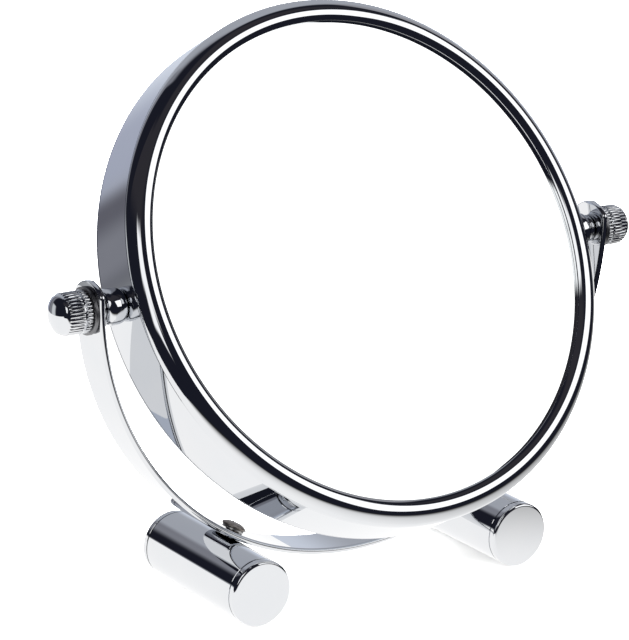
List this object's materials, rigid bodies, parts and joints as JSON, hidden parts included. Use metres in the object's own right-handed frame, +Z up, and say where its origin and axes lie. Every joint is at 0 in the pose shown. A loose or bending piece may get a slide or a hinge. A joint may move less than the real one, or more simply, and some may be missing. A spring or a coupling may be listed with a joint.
{
  "type": "table mirror",
  "caption": "Two-sided round mirror in a polished drum that tilts between the arms of a strip yoke, clamped by knurled thumb nuts, on two short round feet.",
  "frame": {"origin": "on the table, below the middle of the tilt axis", "axes": "+X along the tilt axis to the mirror's right as seen from the front, +Y to the back, +Z up"},
  "size_m": [0.2128, 0.1, 0.1773],
  "materials": {
    "chrome": "polished",
    "mirror": "silvered glass",
    "steel": "zinc plated, dull",
    "brass": "machined",
    "foam": "closed-cell foam",
    "plastic": "moulded",
    "silicone": "translucent"
  },
  "bodies": {
    "stand": {"yoke": "chrome", "left_friction_washer": "steel", "right_friction_washer": "steel", "left_foot_tube": "chrome", "right_foot_tube": "chrome", "left_foot_front_cap": "chrome", "right_foot_front_cap": "chrome", "left_foot_rear_cap": "chrome", "right_foot_rear_cap": "chrome", "left_foot_screw": "steel", "right_foot_screw": "steel", "left_foot_spring_washer": "steel", "right_foot_spring_washer": "steel", "left_foot_threaded_block": "brass", "right_foot_threaded_block": "brass", "left_foot_pad": "silicone", "right_foot_pad": "silicone"},
    "head": {"drum_shell": "chrome", "front_bezel": "chrome", "rear_bezel": "chrome", "front_mirror_glass": "mirror", "rear_magnifying_glass": "mirror", "front_backing_pad": "foam", "rear_backing_ring": "foam", "core_spacer_ring": "plastic", "left_reinforcing_plate": "steel", "right_reinforcing_plate": "steel", "left_pivot_stud": "steel", "right_pivot_stud": "steel", "left_stud_washer": "steel", "right_stud_washer": "steel", "left_stud_nut": "brass", "right_stud_nut": "brass", "left_drum_spacer": "chrome", "right_drum_spacer": "chrome", "left_yoke_spacer": "chrome", "right_yoke_spacer": "chrome"},
    "left_knob": {"left_thumb_nut": "chrome"},
    "right_knob": {"right_thumb_nut": "chrome"}
  },
  "joints": [
    {"name": "mirror_tilt", "type": "hinge", "parent": "stand", "child": "head", "pos_m": [0, 0, 0.09972], "axis": [1, 0, 0], "continuous": true},
    {"name": "left_thumb_nut_turn", "type": "hinge", "parent": "head", "child": "left_knob", "pos_m": [-0.0995, 0, 0.09972], "axis": [-1, 0, 0], "range_deg": [0, 360]},
    {"name": "right_thumb_nut_turn", "type": "hinge", "parent": "head", "child": "right_knob", "pos_m": [0.0995, 0, 0.09972], "axis": [1, 0, 0], "range_deg": [0, 360]}
  ]
}
